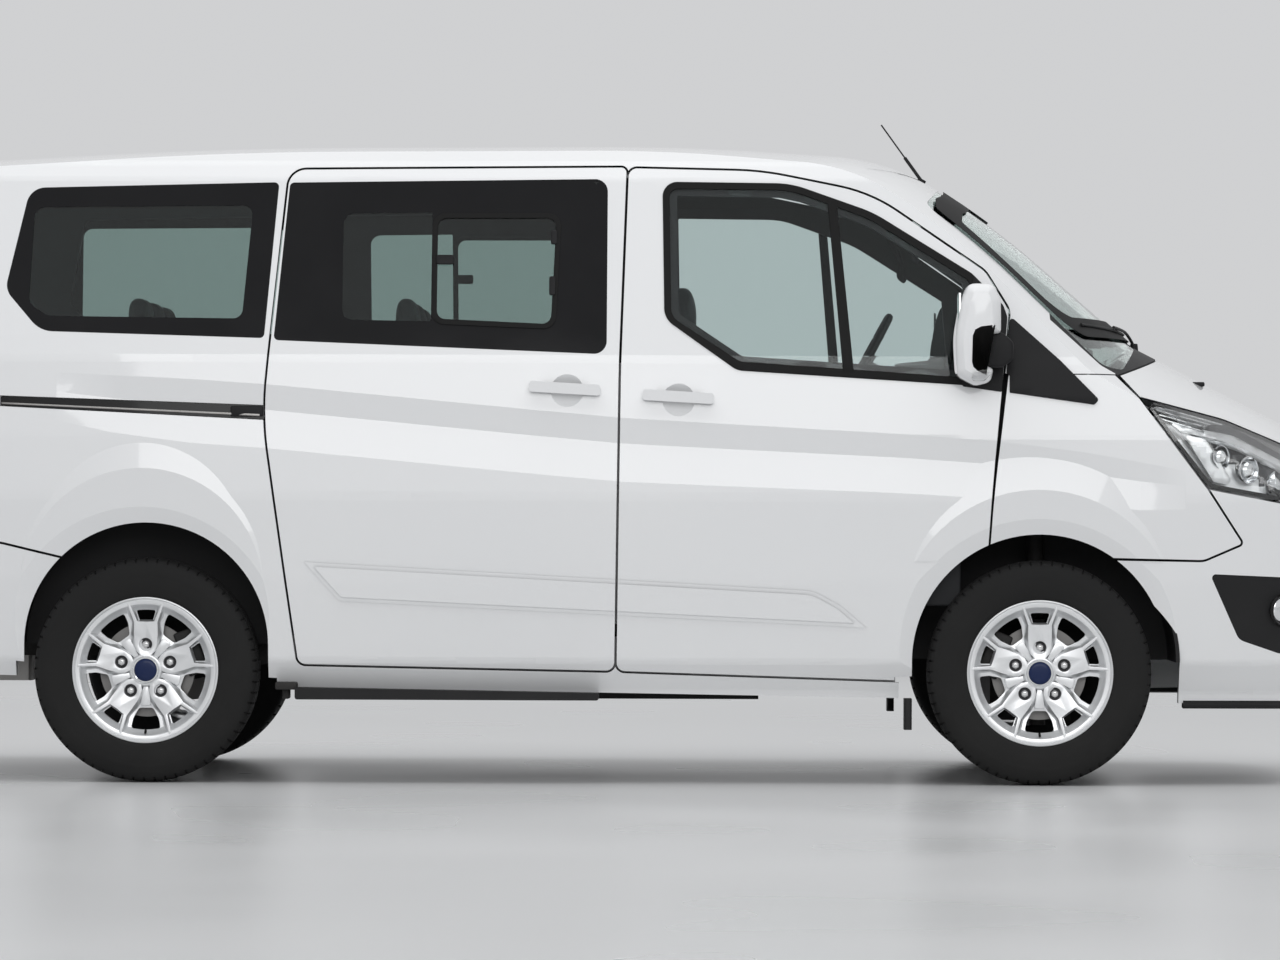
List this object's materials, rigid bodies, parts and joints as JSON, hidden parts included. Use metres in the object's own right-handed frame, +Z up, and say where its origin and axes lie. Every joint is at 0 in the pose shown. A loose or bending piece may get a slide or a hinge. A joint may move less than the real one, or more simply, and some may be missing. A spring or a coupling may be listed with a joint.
{
  "type": "minibus",
  "caption": "Minibus with hinged front doors, bonnet and tailgate, fixed sliding doors, glazed cabin with rows of seats, steered front wheels and free rear wheels.",
  "frame": {"origin": "on the ground, midway between the bumpers, on the centre plane", "axes": "+X forward, +Y to the left, +Z up"},
  "size_m": [4.75, 2.27, 2.1244],
  "materials": {
    "body_paint": "gloss white paint",
    "window_glass": "tinted glass",
    "clear_glass": "clear glass",
    "black_plastic": "grained black",
    "trim_grey": "grained dark grey",
    "seat_cloth": "woven cloth",
    "wheel_silver": "silver lacquer",
    "tyre_rubber": "matt rubber",
    "chassis_iron": "painted black",
    "bare_steel": "dull steel",
    "lamp_clear": "clear lens over silver bowls",
    "lamp_red": "red lens",
    "grille_black": "gloss black"
  },
  "bodies": {
    "body": {"antenna": "black_plastic", "body_side_left": "body_paint", "body_side_right": "body_paint", "bumper_inserts": "black_plastic", "dashboard": "trim_grey", "engine_block": "chassis_iron", "exhaust": "bare_steel", "firewall": "chassis_iron", "floor": "chassis_iron", "front_arch_liners": "black_plastic", "front_axle": "chassis_iron", "front_bumper": "body_paint", "front_seats": "seat_cloth", "fuel_tank": "black_plastic", "grille": "grille_black", "headlamps": "lamp_clear", "lower_grille": "black_plastic", "mudflaps": "black_plastic", "radiator": "chassis_iron", "rear_arch_liners": "black_plastic", "rear_axle": "chassis_iron", "rear_bumper": "body_paint", "roof": "body_paint", "scuttle": "black_plastic", "second_row_seats": "seat_cloth", "side_glass": "window_glass", "side_steps": "black_plastic", "sliding_door_left": "body_paint", "sliding_door_right": "body_paint", "tail_lamps": "lamp_red", "third_row_seats": "seat_cloth", "windscreen": "clear_glass", "wings": "body_paint"},
    "front_door_left": {"front_door_left": "body_paint", "front_door_glass_left": "window_glass", "mirror_left": "black_plastic"},
    "knuckle_left": {"knuckle_left": "chassis_iron"},
    "front_wheel_left": {"front_tyre_left": "tyre_rubber", "front_rim_left": "wheel_silver"},
    "rear_wheel_left": {"rear_tyre_left": "tyre_rubber", "rear_rim_left": "wheel_silver"},
    "front_door_right": {"front_door_right": "body_paint", "front_door_glass_right": "window_glass", "mirror_right": "black_plastic"},
    "knuckle_right": {"knuckle_right": "chassis_iron"},
    "front_wheel_right": {"front_tyre_right": "tyre_rubber", "front_rim_right": "wheel_silver"},
    "rear_wheel_right": {"rear_tyre_right": "tyre_rubber", "rear_rim_right": "wheel_silver"},
    "bonnet": {"bonnet": "body_paint"},
    "tailgate": {"tailgate": "body_paint", "tailgate_glass": "window_glass"},
    "steering_wheel": {"steering_wheel": "trim_grey"}
  },
  "joints": [
    {"name": "front_door_left_hinge", "type": "hinge", "parent": "body", "child": "front_door_left", "pos_m": [1.334, 0.96, 0.8], "axis": [0, 0, -1], "range_deg": [0, 68]},
    {"name": "front_door_right_hinge", "type": "hinge", "parent": "body", "child": "front_door_right", "pos_m": [1.334, -0.96, 0.8], "axis": [0, 0, 1], "range_deg": [0, 68]},
    {"name": "bonnet_hinge", "type": "hinge", "parent": "body", "child": "bonnet", "pos_m": [1.64, 0, 1.37], "axis": [0, -1, 0], "range_deg": [0, 55]},
    {"name": "tailgate_hinge", "type": "hinge", "parent": "body", "child": "tailgate", "pos_m": [-2.088, 0, 1.992], "axis": [0, 1, 0], "range_deg": [0, 85]},
    {"name": "steer_left", "type": "hinge", "parent": "body", "child": "knuckle_left", "pos_m": [1.425, 0.8, 0.352], "axis": [0, 0, 1], "range_deg": [-32, 32]},
    {"name": "steer_right", "type": "hinge", "parent": "body", "child": "knuckle_right", "pos_m": [1.425, -0.8, 0.352], "axis": [0, 0, 1], "range_deg": [-32, 32]},
    {"name": "steering_wheel_turn", "type": "hinge", "parent": "body", "child": "steering_wheel", "pos_m": [0.9, 0.4, 1.335], "axis": [-0.8832, 0, 0.4691], "range_deg": [-450, 450]},
    {"name": "front_wheel_left_roll", "type": "hinge", "parent": "knuckle_left", "child": "front_wheel_left", "pos_m": [1.425, 0.865, 0.352], "axis": [0, 1, 0], "continuous": true},
    {"name": "front_wheel_right_roll", "type": "hinge", "parent": "knuckle_right", "child": "front_wheel_right", "pos_m": [1.425, -0.865, 0.352], "axis": [0, 1, 0], "continuous": true},
    {"name": "rear_wheel_left_roll", "type": "hinge", "parent": "body", "child": "rear_wheel_left", "pos_m": [-1.375, 0.865, 0.352], "axis": [0, 1, 0], "continuous": true},
    {"name": "rear_wheel_right_roll", "type": "hinge", "parent": "body", "child": "rear_wheel_right", "pos_m": [-1.375, -0.865, 0.352], "axis": [0, 1, 0], "continuous": true}
  ],
  "couplings": [
    {"joint": "steer_right", "follows": "steer_left", "ratio": 1},
    {"joint": "steering_wheel_turn", "follows": "steer_left", "ratio": 14}
  ]
}
